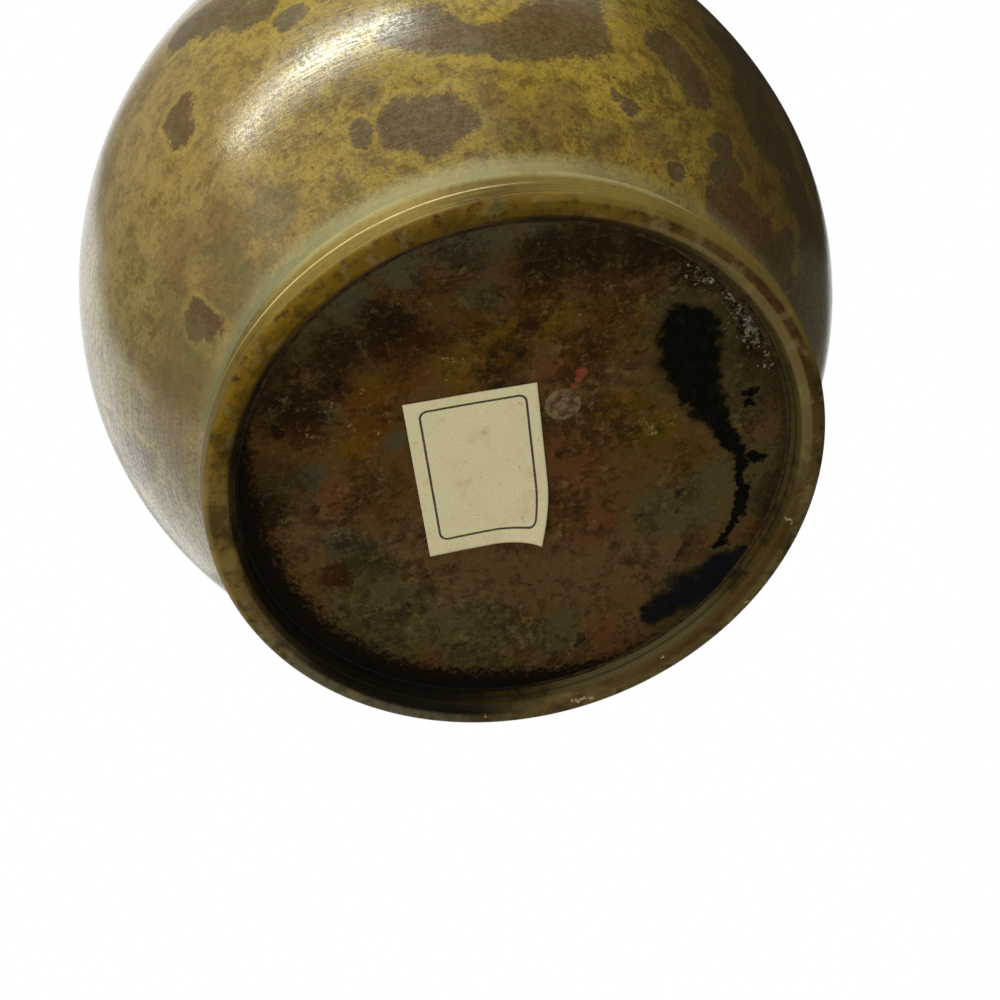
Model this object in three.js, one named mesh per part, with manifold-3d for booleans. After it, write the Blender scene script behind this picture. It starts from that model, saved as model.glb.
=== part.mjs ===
// Cast bronze bud vase: a globe on a low turned foot, a slender neck and a small flared mouth.
// Millimetres, +Z up, origin at the centre of the plane that the foot rests on.
import * as THREE from "three";
import { mergeVertices } from "three/addons/utils/BufferGeometryUtils.js";
import Module from "manifold-3d";

const wasm = await Module();
wasm.setup();

// The globe
const GLOBE_RADIUS = 55;
const GLOBE_CENTRE_Z = 47.5;
const GLOBE_DROP = 56.2;
const SHOULDER_RISE = 67;
const GLOBE_WALL = 2.4;
const SEAM_GAP = 0.3;

// The turned foot
const FOOT_RADIUS = 43.1;
const FOOT_HEIGHT = 10.2;
const FOOT_RIM_WIDTH = 2.9;
const FOOT_EDGE_ROUND = 0.4;
const FOOT_INNER_ROUND = 0.6;
const FOOT_SIDE_HEIGHT = 3.6;
const FOOT_WAIST_DEPTH = 2.7;
const FOOT_SPIGOT_RISE = 2.6;
const SPIGOT_WALL = 1.8;

// The base plate, let into the foot from below
const RECESS_DEPTH = 2.2;
const PLATE_THICKNESS = 2;
const PLATE_LEDGE = 2.4;
const WALL_DRAFT = 1.8;
const SOLDER_LEG = 0.9;

// The plug that closes the core hole of the plate
const PLUG_RADIUS = 2.5;
const PLUG_X = 9.0;
const PLUG_Y = -6.7;
const PLUG_HEAD = 0.3;

// The neck and the mouth
const NECK_ROOT_RADIUS = 20;
const NECK_SPIGOT_RADIUS = 17.7;
const NECK_SPIGOT_DROP = 4;
const NECK_WAIST_RADIUS = 8.5;
const NECK_TOP_RADIUS = 7.4;
const NECK_WALL = 2.2;
const NECK_FLARE_RISE = 25;
const VASE_HEIGHT = 200;
const MOUTH_HEIGHT = 9;
const MOUTH_RADIUS = 13.5;
const MOUTH_LIP = 1.7;

// The paper label on the plate
const LABEL_WIDTH = 19;
const LABEL_LENGTH = 25.4;
const LABEL_THICKNESS = 0.2;
const LABEL_GLUE = 0.1;
const LABEL_X = -4.6;
const LABEL_Y = -1.8;
const LABEL_TURN = 12.3;
const LABEL_CURL = 0.9;
const LABEL_CURL_REACH = 7;

const LATHE_STEPS = 56;
const SMALL_LATHE_STEPS = 32;

const BRONZE = { color: 0x7a6530, roughness: 0.35, metalness: 0.8 };
const SOLDER = { color: 0x4a4640, roughness: 0.6, metalness: 0.7 };
const PAPER = { color: 0xc9c39a, roughness: 0.8, metalness: 0 };

// Profiles are lists of (radius, height) points.
function point(radius, height) {
  return new THREE.Vector2(radius, height);
}

// Points on an ellipse about the axis, from one angle in degrees to another.
function ellipse(radius, rise, centreZ, from, to, steps) {
  const points = [];
  for (let i = 0; i <= steps; i++) {
    const a = THREE.MathUtils.degToRad(from + ((to - from) * i) / steps);
    points.push(point(radius * Math.cos(a), centreZ + rise * Math.sin(a)));
  }
  return points;
}

// The angle at which an ellipse about the axis has the given radius.
function angleAtRadius(radius, semiRadius) {
  return THREE.MathUtils.radToDeg(Math.acos(radius / semiRadius));
}

// The angle, below the middle, at which the lower globe has the given height.
function angleAtHeight(height, drop) {
  return THREE.MathUtils.radToDeg(Math.asin((height - GLOBE_CENTRE_Z) / drop));
}

// The radius of the lower globe at the given height.
function radiusAtHeight(height, radius, drop) {
  return radius * Math.cos(THREE.MathUtils.degToRad(angleAtHeight(height, drop)));
}

function bezier(a, b, c, d, steps) {
  return new THREE.CubicBezierCurve(a, b, c, d).getPoints(steps);
}

// A closed ring of revolution. The profile runs round the section and its ends are joined here.
function ring(profile, steps) {
  const area = THREE.ShapeUtils.area(profile);
  const ordered = area > 0 ? profile.slice() : profile.slice().reverse();
  return new THREE.LatheGeometry([...ordered, ordered[0].clone()], steps).rotateX(Math.PI / 2);
}

function solid(geometry) {
  const bare = new THREE.BufferGeometry();
  const plain = geometry.index ? geometry.toNonIndexed() : geometry;
  bare.setAttribute("position", plain.getAttribute("position"));
  const merged = mergeVertices(bare, 1e-4);
  const triVerts = new Uint32Array(merged.index.array);
  const vertProperties = merged.attributes.position.array;
  const made = new wasm.Manifold(new wasm.Mesh({ numProp: 3, vertProperties, triVerts }));
  return made;
}

function geometryOf(manifold) {
  const mesh = manifold.getMesh();
  const geometry = new THREE.BufferGeometry();
  geometry.setAttribute("position", new THREE.BufferAttribute(mesh.vertProperties, 3));
  geometry.setIndex(new THREE.BufferAttribute(mesh.triVerts, 1));
  geometry.computeVertexNormals();
  return geometry;
}

const vase = new THREE.Group();

function add(name, geometry, finish) {
  const mesh = new THREE.Mesh(geometry, new THREE.MeshStandardMaterial(finish));
  mesh.name = name;
  vase.add(mesh);
  return mesh;
}

// Heights and radii that the pieces share
const globeInner = GLOBE_RADIUS - GLOBE_WALL;
const riseInner = SHOULDER_RISE - GLOBE_WALL;
const dropInner = GLOBE_DROP - GLOBE_WALL;
const globeBottom = FOOT_HEIGHT + SEAM_GAP;
const footOpening = radiusAtHeight(globeBottom, globeInner, dropInner);
const collarRadius = NECK_SPIGOT_RADIUS + SEAM_GAP;
const rootAngle = angleAtRadius(NECK_ROOT_RADIUS, GLOBE_RADIUS);
const rootZ = GLOBE_CENTRE_Z + SHOULDER_RISE * Math.sin(THREE.MathUtils.degToRad(rootAngle));
const rimInner = FOOT_RADIUS - FOOT_RIM_WIDTH;
const pocketRadius = rimInner - WALL_DRAFT;
const plateRadius = pocketRadius - SEAM_GAP;
const plateTop = RECESS_DEPTH + PLATE_THICKNESS;
const ledgeZ = plateTop + SEAM_GAP;
const spigotOuter = footOpening - SEAM_GAP;
const spigotInner = spigotOuter - SPIGOT_WALL;
const ledgeRadius = Math.min(pocketRadius - PLATE_LEDGE, spigotInner);

// The globe is a thin cast shell, open below for the foot and above for the neck.
function globe() {
  const outer = [
    ...ellipse(GLOBE_RADIUS, GLOBE_DROP, GLOBE_CENTRE_Z, angleAtHeight(globeBottom, GLOBE_DROP), 0, 8),
    ...ellipse(GLOBE_RADIUS, SHOULDER_RISE, GLOBE_CENTRE_Z, 0, rootAngle, 11).slice(1),
  ];
  const inner = [
    ...ellipse(globeInner, riseInner, GLOBE_CENTRE_Z, angleAtRadius(collarRadius, globeInner), 0, 9),
    ...ellipse(globeInner, dropInner, GLOBE_CENTRE_Z, 0, angleAtHeight(globeBottom, dropInner), 6).slice(1),
  ];
  return ring([...outer, point(collarRadius, rootZ), ...inner], LATHE_STEPS);
}

// The foot has a flat bearing rim, a straight side with a crisp upper edge, a hollowed waist
// that runs up to the globe, a spigot inside the globe and a stepped pocket for the plate.
function foot() {
  const waistRadius = FOOT_RADIUS - FOOT_WAIST_DEPTH;
  const waistRise = FOOT_HEIGHT - FOOT_SIDE_HEIGHT;
  const topRadius = radiusAtHeight(FOOT_HEIGHT, GLOBE_RADIUS, GLOBE_DROP);
  const edge = [];
  for (let i = 0; i <= 4; i++) {
    const a = ((i / 4) * Math.PI) / 2;
    edge.push(
      point(
        FOOT_RADIUS - FOOT_EDGE_ROUND * (1 - Math.sin(a)),
        FOOT_EDGE_ROUND * (1 - Math.cos(a)),
      ),
    );
  }
  const waist = bezier(
    point(FOOT_RADIUS - FOOT_EDGE_ROUND / 2, FOOT_SIDE_HEIGHT),
    point(waistRadius, FOOT_SIDE_HEIGHT + waistRise / 4),
    point(waistRadius, FOOT_HEIGHT - waistRise / 3),
    point(topRadius, FOOT_HEIGHT),
    7,
  );
  const section = [
    point(rimInner, 0),
    ...edge,
    point(FOOT_RADIUS, FOOT_SIDE_HEIGHT - FOOT_EDGE_ROUND / 2),
    ...waist,
    point(spigotOuter, FOOT_HEIGHT),
    point(spigotOuter, FOOT_HEIGHT + FOOT_SPIGOT_RISE),
    point(spigotInner, FOOT_HEIGHT + FOOT_SPIGOT_RISE),
    point(ledgeRadius, ledgeZ),
    point(pocketRadius, ledgeZ),
    point(pocketRadius, RECESS_DEPTH),
    point(rimInner - FOOT_INNER_ROUND, FOOT_INNER_ROUND),
  ];
  return ring(section, LATHE_STEPS);
}

// The plate is a thin disc with a stepped hole for its plug.
function plate() {
  const disc = new THREE.CylinderGeometry(plateRadius, plateRadius, PLATE_THICKNESS, LATHE_STEPS);
  disc.rotateX(Math.PI / 2).translate(0, 0, RECESS_DEPTH + PLATE_THICKNESS / 2);
  const holeRadius = PLUG_RADIUS + SEAM_GAP;
  const hole = new THREE.CylinderGeometry(holeRadius, holeRadius, PLATE_THICKNESS * 2, SMALL_LATHE_STEPS / 2);
  hole.rotateX(Math.PI / 2).translate(PLUG_X, PLUG_Y, RECESS_DEPTH + PLATE_THICKNESS / 2);
  return geometryOf(solid(disc).subtract(solid(hole)));
}

// The plug is flush below and spread into a low rivet head inside the vase.
function plug() {
  const headRadius = PLUG_RADIUS * 1.5;
  const headZ = plateTop + SEAM_GAP;
  const profile = [
    point(0, RECESS_DEPTH),
    point(PLUG_RADIUS, RECESS_DEPTH),
    point(PLUG_RADIUS, headZ),
    point(headRadius, headZ),
    point(headRadius * 0.8, headZ + PLUG_HEAD * 2),
    point(0, headZ + PLUG_HEAD * 3),
  ];
  const turned = new THREE.LatheGeometry(profile, SMALL_LATHE_STEPS / 2).rotateX(Math.PI / 2);
  return turned.translate(PLUG_X, PLUG_Y, 0);
}

// Soft solder lies in the corner between the plate and the wall of the foot.
function plateSolder() {
  const outer = pocketRadius - SEAM_GAP / 3;
  const top = RECESS_DEPTH - SEAM_GAP / 3;
  return ring(
    [
      point(outer, top),
      point(outer - SOLDER_LEG, top),
      point(outer - SOLDER_LEG * 0.35, top - SOLDER_LEG * 0.35),
      point(outer, top - SOLDER_LEG),
    ],
    LATHE_STEPS,
  );
}

// Brazing metal fills the inner corner under the collar of the globe.
function neckBraze() {
  const innerTop = GLOBE_CENTRE_Z + riseInner * Math.sin(
    THREE.MathUtils.degToRad(angleAtRadius(collarRadius, globeInner)),
  );
  const leg = SOLDER_LEG * 1.4;
  const top = innerTop - SEAM_GAP - leg * 0.5;
  return ring(
    [
      point(collarRadius, top),
      point(collarRadius + leg, top - leg * 0.2),
      point(collarRadius, top - leg),
    ],
    SMALL_LATHE_STEPS,
  );
}

// The neck sweeps up out of the shoulder and narrows to a slender tube.
const neckFoot = rootZ + SEAM_GAP;
const waistZ = rootZ + NECK_FLARE_RISE;
const neckTop = VASE_HEIGHT - MOUTH_HEIGHT - SEAM_GAP;
const boreWaist = NECK_WAIST_RADIUS - NECK_WALL;
const boreTop = NECK_TOP_RADIUS - NECK_WALL;

function neck() {
  const slope = (SHOULDER_RISE / GLOBE_RADIUS) / Math.tan(THREE.MathUtils.degToRad(rootAngle));
  const reach = NECK_ROOT_RADIUS * 0.42;
  const waist = point(NECK_WAIST_RADIUS, waistZ);
  const outer = [
    ...bezier(
      point(NECK_ROOT_RADIUS, neckFoot),
      point(NECK_ROOT_RADIUS - reach, neckFoot + reach * slope),
      point(NECK_WAIST_RADIUS, neckFoot + NECK_FLARE_RISE * 0.38),
      waist,
      12,
    ),
    point((NECK_WAIST_RADIUS + NECK_TOP_RADIUS) / 2, (waistZ + neckTop) / 2),
    point(NECK_TOP_RADIUS, neckTop),
  ];
  const boreRoot = NECK_SPIGOT_RADIUS - NECK_WALL;
  const spigotZ = neckFoot - NECK_SPIGOT_DROP;
  const inner = [
    point(boreTop, neckTop),
    ...bezier(
      point(boreWaist, waistZ),
      point(boreWaist, neckFoot + NECK_FLARE_RISE * 0.3),
      point(boreRoot, neckFoot + reach * slope * 0.4),
      point(boreRoot, spigotZ),
      9,
    ),
  ];
  return ring(
    [...outer, ...inner, point(NECK_SPIGOT_RADIUS, spigotZ), point(NECK_SPIGOT_RADIUS, neckFoot)],
    SMALL_LATHE_STEPS,
  );
}

// The mouth is a turned ring that flares out to a rounded lip.
function mouth() {
  const foot = VASE_HEIGHT - MOUTH_HEIGHT;
  const lipZ = VASE_HEIGHT - MOUTH_LIP / 2;
  const lip = [];
  for (let i = 0; i <= 5; i++) {
    const a = -Math.PI / 2 + (i / 5) * Math.PI;
    lip.push(
      point(
        MOUTH_RADIUS - MOUTH_LIP / 2 + (MOUTH_LIP / 2) * Math.cos(a),
        lipZ + (MOUTH_LIP / 2) * Math.sin(a),
      ),
    );
  }
  const outer = bezier(
    point(NECK_TOP_RADIUS, foot),
    point(NECK_TOP_RADIUS, foot + MOUTH_HEIGHT * 0.5),
    point(NECK_TOP_RADIUS + 1.5, lip[0].y),
    lip[0],
    7,
  ).slice(0, -1);
  const inner = bezier(
    point(MOUTH_RADIUS - MOUTH_LIP * 1.2, VASE_HEIGHT),
    point(boreTop + 1.5, VASE_HEIGHT - MOUTH_LIP * 0.5),
    point(boreTop, foot + MOUTH_HEIGHT * 0.5),
    point(boreTop, foot),
    7,
  );
  return ring([...outer, ...lip, ...inner], SMALL_LATHE_STEPS);
}

// A thin paper sheet. One corner has come unstuck and curls away from the plate.
function label() {
  const columns = 8;
  const rows = 10;
  const positions = [];
  const index = [];
  const lift = (x, y) => {
    const toCorner = Math.hypot(LABEL_WIDTH / 2 - x, LABEL_LENGTH / 2 - y);
    const near = Math.max(0, 1 - toCorner / LABEL_CURL_REACH);
    return LABEL_CURL * near * near;
  };
  for (const side of [0, LABEL_THICKNESS]) {
    for (let j = 0; j <= rows; j++) {
      for (let i = 0; i <= columns; i++) {
        const x = (i / columns - 0.5) * LABEL_WIDTH;
        const y = (j / rows - 0.5) * LABEL_LENGTH;
        positions.push(x, y, -side - lift(x, y));
      }
    }
  }
  const across = columns + 1;
  const layer = across * (rows + 1);
  const quad = (a, b, c, d) => index.push(a, b, c, a, c, d);
  for (let j = 0; j < rows; j++) {
    for (let i = 0; i < columns; i++) {
      const k = j * across + i;
      quad(k, k + 1, k + across + 1, k + across);
      quad(layer + k, layer + k + across, layer + k + across + 1, layer + k + 1);
    }
  }
  for (let i = 0; i < columns; i++) {
    const far = rows * across + i;
    quad(i, layer + i, layer + i + 1, i + 1);
    quad(far, far + 1, layer + far + 1, layer + far);
  }
  for (let j = 0; j < rows; j++) {
    const left = j * across;
    const right = left + columns;
    quad(left, left + across, layer + left + across, layer + left);
    quad(right, layer + right, layer + right + across, right + across);
  }
  const sheet = new THREE.BufferGeometry();
  sheet.setAttribute("position", new THREE.Float32BufferAttribute(positions, 3));
  sheet.setIndex(index);
  sheet.computeVertexNormals();
  return sheet;
}

add("globe_shell", globe(), BRONZE);
add("foot_ring", foot(), BRONZE);
add("base_plate", plate(), BRONZE);
add("core_plug", plug(), SOLDER);
add("plate_solder_bead", plateSolder(), SOLDER);
add("neck_tube", neck(), BRONZE);
add("neck_braze_bead", neckBraze(), SOLDER);
add("mouth_rim", mouth(), BRONZE);

const paper = add("paper_label", label(), PAPER);
paper.position.set(LABEL_X, LABEL_Y, RECESS_DEPTH - LABEL_GLUE);
paper.rotation.z = THREE.MathUtils.degToRad(LABEL_TURN);

export default vase;
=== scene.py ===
# A patinated bronze bud vase, seen from below: globe, turned foot, inset base plate, neck and mouth.
import random
from math import acos, asin, cos, exp, hypot, pi, radians, sin, sqrt, tan

import bmesh
import bpy
import mathutils
from mathutils import Matrix, Vector


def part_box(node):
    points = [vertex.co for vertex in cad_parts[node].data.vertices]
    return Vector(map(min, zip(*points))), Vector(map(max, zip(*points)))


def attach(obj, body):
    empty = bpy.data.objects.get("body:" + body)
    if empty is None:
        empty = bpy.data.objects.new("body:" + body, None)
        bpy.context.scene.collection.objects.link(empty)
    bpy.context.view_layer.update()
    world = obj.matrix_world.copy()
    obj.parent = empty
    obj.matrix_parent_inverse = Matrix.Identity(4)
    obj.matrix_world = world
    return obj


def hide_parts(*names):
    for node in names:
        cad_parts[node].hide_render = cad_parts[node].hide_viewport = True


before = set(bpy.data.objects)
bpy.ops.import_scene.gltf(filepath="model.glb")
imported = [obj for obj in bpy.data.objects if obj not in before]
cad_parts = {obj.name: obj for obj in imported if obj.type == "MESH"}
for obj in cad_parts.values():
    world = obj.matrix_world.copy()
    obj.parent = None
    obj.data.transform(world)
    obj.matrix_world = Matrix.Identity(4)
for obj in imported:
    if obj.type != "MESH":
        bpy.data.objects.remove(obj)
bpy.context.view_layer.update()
MM = 0.001

# Camera. It looks up at the foot from 0.45 m away, with the vase's axis leaning to the left of the picture.
CAMERA_PLACE = Vector((0.01216, -0.26499, -0.36352))
CAMERA_RIGHT = Vector((0.92974, 0.31478, -0.19106))
CAMERA_AHEAD = Vector((-0.0353, 0.59268, 0.80466))
CAMERA_LENS = 119.45


def in_scene(name, data):
    """A new object of the scene, from a mesh, a lamp or a camera."""
    made = bpy.data.objects.new(name, data)
    bpy.context.scene.collection.objects.link(made)
    return made


camera = in_scene("camera", bpy.data.cameras.new("camera"))
camera_up = CAMERA_RIGHT.cross(CAMERA_AHEAD).normalized()
turn = Matrix((CAMERA_RIGHT.normalized(), camera_up, -CAMERA_AHEAD.normalized())).transposed()
camera.matrix_world = Matrix.Translation(CAMERA_PLACE) @ turn.to_4x4()
camera.data.sensor_width = 36
camera.data.lens = CAMERA_LENS
camera.data.clip_start = 0.01
camera.data.clip_end = 20
bpy.context.scene.camera = camera


# Light. Two long narrow windows light the upper left of the globe and draw one bent highlight on it.
# Weak fills come from the left, from behind on the left and from below, and the white room does the rest.
def lamp(name, place, width, height, watts, along=(1, 0, 0), tint=(1, 1, 1)):
    """A rectangular lamp that faces the globe, its width as near as it can be to a direction."""
    light = bpy.data.lights.new(name, "AREA")
    light.shape = "RECTANGLE"
    light.size, light.size_y, light.energy = width, height, watts
    light.color = tint
    lit = in_scene(name, light)
    back = (Vector(place) - Vector(GLOBE_MIDDLE)).normalized()
    upward = back.cross(Vector(along)).normalized()
    turned_to = Matrix((upward.cross(back), upward, back)).transposed()
    lit.matrix_world = Matrix.Translation(place) @ turned_to.to_4x4()


GLOBE_MIDDLE = (0, 0, 0.0475)
ROOM_LEVEL = 0.5
WINDOW_TINT = (0.93, 1, 0.92)
lamp("window_left", (-0.3, -0.648, 0.374), 0.32, 0.065, 1.75, (0.281, -0.083, 0.093), WINDOW_TINT)
lamp("window_right", (-0.003, -0.677, 0.443), 0.33, 0.065, 3.4, (0.313, 0.025, 0.045), WINDOW_TINT)
lamp("side_fill", (-0.8, -0.5, 0.1), 0.9, 0.9, 1.6, (0, 1, 0))
lamp("left_glow", (-0.57, 0.33, 0.5), 0.5, 0.5, 0.85, (0, 1, 0))
lamp("under_fill", (-0.25, -0.35, -0.7), 0.6, 0.6, 1.9)


def fill(node, inputs):
    """Gives a shader node its inputs, each a value or a socket to link from."""
    for name, value in inputs.items():
        if isinstance(value, bpy.types.NodeSocket):
            node.id_data.links.new(value, node.inputs[name])
        else:
            node.inputs[name].default_value = value


def put(kind, inputs=None, tree=None, **properties):
    """Adds a shader node of a kind to the tree of the sockets it links from, or to the one given."""
    inputs = inputs or {}
    if tree is None:
        tree = next(value.id_data for value in inputs.values() if isinstance(value, bpy.types.NodeSocket))
    made = tree.nodes.new("ShaderNode" + kind)
    for name, value in properties.items():
        setattr(made, name, value)
    fill(made, inputs)
    return made


def maths(operation, *values):
    return put("Math", dict(enumerate(values)), operation=operation).outputs[0]


world = bpy.data.worlds.new("room")
bpy.context.scene.world = world
world.use_nodes = True
room = world.node_tree
room.nodes.clear()
rays = put("LightPath", tree=room).outputs
seen = maths("MAXIMUM", rays["Is Camera Ray"], rays["Is Glossy Ray"])
seen = maths("MAXIMUM", seen, rays["Is Transmission Ray"])
level = put("MapRange", {"Value": seen, "To Min": ROOM_LEVEL, "To Max": 1}).outputs["Result"]
white = put("Background", {"Color": (1, 1, 1, 1), "Strength": level}).outputs[0]
put("OutputWorld", {"Surface": white})
bpy.context.scene.view_settings.view_transform = "Standard"


# Floor and cards. The floor is pale and one-sided, so that it doesn't hide the vase from below.
# Black and grey cards stand off around, and show only as reflections in the polish.
def rgb(red, green, blue):
    """A linear colour from its ordinary 0 to 255 screen values."""
    steps = (c / 255 for c in (red, green, blue))
    linear = [c / 12.92 if c <= 0.04045 else ((c + 0.055) / 1.055) ** 2.4 for c in steps]
    return (*linear, 1)


def from_points(name, vertices, faces):
    """A mesh object of the scene, from points in metres."""
    mesh = bpy.data.meshes.new(name)
    mesh.from_pydata(vertices, [], faces)
    return in_scene(name, mesh)


def flat_sheet(name, width, depth, place, facing):
    w, d = width / 2, depth / 2
    made = from_points(name, [(-w, -d, 0), (w, -d, 0), (w, d, 0), (-w, d, 0)], [(0, 1, 2, 3)])
    made.location = place
    made.rotation_euler = Vector(facing).to_track_quat("Z", "Y").to_euler()
    return made


def new_skin(name):
    """A new material and its shader."""
    made = bpy.data.materials.new(name)
    made.use_nodes = True
    return made, made.node_tree.nodes["Principled BSDF"]


floor = flat_sheet("floor", 6, 6, (0, 0, -0.0002), (0, 0, 1))
for flag in ("visible_diffuse", "visible_glossy", "visible_transmission", "visible_shadow"):
    setattr(floor, flag, False)
pale, _ = new_skin("pale_floor")
floor_tree = pale.node_tree
floor_tree.nodes.clear()
under = put("NewGeometry", tree=floor_tree).outputs["Backfacing"]
matt = put("BsdfDiffuse", {"Color": rgb(236, 235, 231)}, tree=floor_tree).outputs[0]
clear = put("BsdfTransparent", tree=floor_tree).outputs[0]
either = put("MixShader", {0: under, 1: matt, 2: clear}).outputs[0]
put("OutputMaterial", {"Surface": either})
floor.data.materials.append(pale)

BLACK = rgb(25, 25, 25)
GREY = rgb(140, 140, 136)
DARK_GREY = rgb(108, 106, 96)
PALE_GREY = rgb(172, 170, 152)
for name, width, depth, place, card_tone in (
    ("card_right", 1.9, 1.6, (0.925, -0.265, 0.05), BLACK),
    ("card_behind", 1, 1.1, (0.64, 0.21, 0.72), BLACK),
    ("card_below", 2.2, 1.8, (0.1, 0.55, -0.62), BLACK),
    ("card_side", 0.9, 0.85, (0.58, 0.71, 0.42), DARK_GREY),
    ("card_far_left", 0.75, 0.55, (-0.66, 0.43, 0.66), PALE_GREY),
    ("card_above", 0.9, 0.9, (-0.39, -0.27, 0.84), GREY),
    ("card_left", 0.85, 1, (-0.76, -0.31, 0.27), BLACK),
):
    card = flat_sheet(name, width, depth, place, Vector(GLOBE_MIDDLE) - Vector(place))
    card_skin, shader = new_skin(name)
    fill(shader, {"Base Color": card_tone, "Roughness": 1})
    card.data.materials.append(card_skin)
    card.visible_camera = card.visible_diffuse = card.visible_shadow = False


# Globe. A thin cast bronze shell, polished on the lathe and then coloured with a mottled patina:
# a gold and tan ground with fine olive brown speckles, and purple brown blotches with ragged edges.
# It is open at the foot and at the neck, and both joints are brazed and dressed flush.
GLOBE_CENTRE = 47.5
GLOBE_DROP = 56.2
GLOBE_RISE = 67
GLOBE_WALL = 2.4
GLOBE_FOOT = 10.2
NECK_ROOT = 20
COLLAR = 18
FINE_STEPS = 256
globe_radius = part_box("globe_shell")[1].x / MM


def oval(radius, rise, start, end, steps):
    """Points (radius, height) on an ellipse round the globe's middle, from one angle to another."""
    angles = [start + (end - start) * i / steps for i in range(steps + 1)]
    return [(radius * cos(a), GLOBE_CENTRE + rise * sin(a)) for a in angles]


def tidy(piece, corner=32):
    """Merges doubled points, faces the surface out and smooths it up to a corner angle in degrees."""
    shape = bmesh.new()
    shape.from_mesh(piece.data)
    bmesh.ops.remove_doubles(shape, verts=shape.verts, dist=1e-6)
    bmesh.ops.dissolve_degenerate(shape, edges=shape.edges, dist=1e-7)
    bmesh.ops.recalc_face_normals(shape, faces=shape.faces)
    for face in shape.faces:
        face.smooth = True
    for edge in shape.edges:
        if len(edge.link_faces) == 2:
            edge.smooth = edge.calc_face_angle(0) < radians(corner)
    shape.to_mesh(piece.data)
    shape.free()


def new_piece(name, vertices, faces, corner=32):
    """A tidied mesh object from points in millimetres."""
    made = from_points(name, [(x * MM, y * MM, z * MM) for x, y, z in vertices], faces)
    tidy(made, corner)
    return made


def round_steps(count):
    """The angles of even steps round a circle."""
    return [2 * pi * i / count for i in range(count)]


def turned(name, profile, steps=FINE_STEPS, centre=(0, 0)):
    """A closed ring of revolution from points (radius, height) in millimetres."""
    count = len(profile)
    vertices, faces = [], []
    for a in round_steps(steps):
        across, along = cos(a), sin(a)
        vertices += [(centre[0] + r * across, centre[1] + r * along, height) for r, height in profile]
    for i in range(steps):
        j = (i + 1) % steps
        for k in range(count):
            n = (k + 1) % count
            faces.append((i * count + k, i * count + n, j * count + n, j * count + k))
    return new_piece(name, vertices, faces)


def times(*values):
    return maths("MULTIPLY", *values)


def weighted(value, weight, base):
    """A value times a weight, added to a base."""
    return maths("MULTIPLY_ADD", value, weight, base)


def vectors(operation, *values, out="Vector"):
    return put("VectorMath", dict(enumerate(values)), operation=operation).outputs[out]


def length(vector):
    return vectors("LENGTH", vector, out="Value")


def sideways(where):
    """The part of a place that lies across the vase's axis."""
    return vectors("MULTIPLY", where, (1, 1, 0))


def parts_of(vector):
    return put("SeparateXYZ", {"Vector": vector}).outputs


def over(mask, below, above, share=1):
    """Colour above laid over colour below through a mask, at most to a share."""
    if share != 1:
        mask = times(mask, share)
    return put("Mix", {0: mask, 6: below, 7: above}, data_type="RGBA").outputs[2]


def layered(tone, *layers):
    """Lays colours over a tone, one after another, each as (mask, colour) or (mask, colour, share)."""
    for mask, *above in layers:
        tone = over(mask, tone, *above)
    return tone


def ramp(value, low, high, least=0, most=1):
    """A smooth step of value from least, at low, to most, at high."""
    inputs = {"Value": value, "From Min": low, "From Max": high, "To Min": least, "To Max": most}
    return put("MapRange", inputs, interpolation_type="SMOOTHSTEP").outputs["Result"]


def band(value, low, high, soft):
    """A mask that is 1 where value lies between low and high, with soft edges outside them."""
    return times(ramp(value, low - soft, low), ramp(value, high + soft, high))


def noise(vector, scale, detail, roughness, out=0):
    inputs = {"Vector": vector, "Scale": scale, "Detail": detail, "Roughness": roughness}
    return put("TexNoise", inputs).outputs[out]


def patchy(vector, scale, detail, roughness, low, high, least=0, most=1):
    """A mask of noise, stepped between two of its levels."""
    return ramp(noise(vector, scale, detail, roughness), low, high, least, most)


def bumped(height, strength, depth):
    """The surface's direction once a height has dented it, to a depth in metres."""
    inputs = {"Height": height, "Strength": strength, "Distance": depth}
    return put("Bump", inputs).outputs["Normal"]


def new_group(name, *sockets):
    """A node group that takes a Vector. Its other sockets are given by direction, kind and name."""
    tree = bpy.data.node_groups.new(name, "ShaderNodeTree")
    for socket in ("INPUT Vector Vector", *sockets):
        direction, kind, label = socket.split(" ", 2)
        tree.interface.new_socket(label, in_out=direction, socket_type="NodeSocket" + kind)
    return tree, tree.nodes.new("NodeGroupInput").outputs, tree.nodes.new("NodeGroupOutput")


def place_group(group, **inputs):
    named = {key.replace("_", " "): value for key, value in inputs.items()}
    return put("Group", named, node_tree=group).outputs


# Wander: noise that bends the outline of a stain, and a finer one that frays its edge.
wander_group, given, result = new_group(
    "wander", "INPUT Float Bend", "INPUT Float Ripple", "OUTPUT Color Shift", "OUTPUT Float Fray"
)
shifts = []
for scale, detail, amount in ((105, 2, "Bend"), (480, 4, "Ripple")):
    pushed = noise(given["Vector"], scale, detail, 0.55, out=1)
    sized = {0: vectors("SUBTRACT", pushed, (0.5, 0.5, 0.5)), "Scale": given[amount]}
    shifts.append(put("VectorMath", sized, operation="SCALE").outputs[0])
fray = maths("SUBTRACT", noise(given["Vector"], 1300, 5, 0.75), 0.5)
fill(result, {"Shift": vectors("ADD", *shifts), "Fray": fray})


def wandered(where, bend, ripple):
    """A place pushed about by the wander, and the fray that goes with it."""
    shift, fray = place_group(wander_group, Vector=where, Bend=bend, Ripple=ripple)
    return vectors("ADD", where, shift), fray


# Spot reach: how far out a point lies from a round spot, where 1 is the spot's edge.
spot_group, given, result = new_group(
    "spot_reach", "INPUT Vector Centre", "INPUT Float Radius", "OUTPUT Float Reach"
)
spot_far = length(vectors("SUBTRACT", given["Vector"], given["Centre"]))
fill(result, {"Reach": maths("DIVIDE", spot_far, given["Radius"])})


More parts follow.
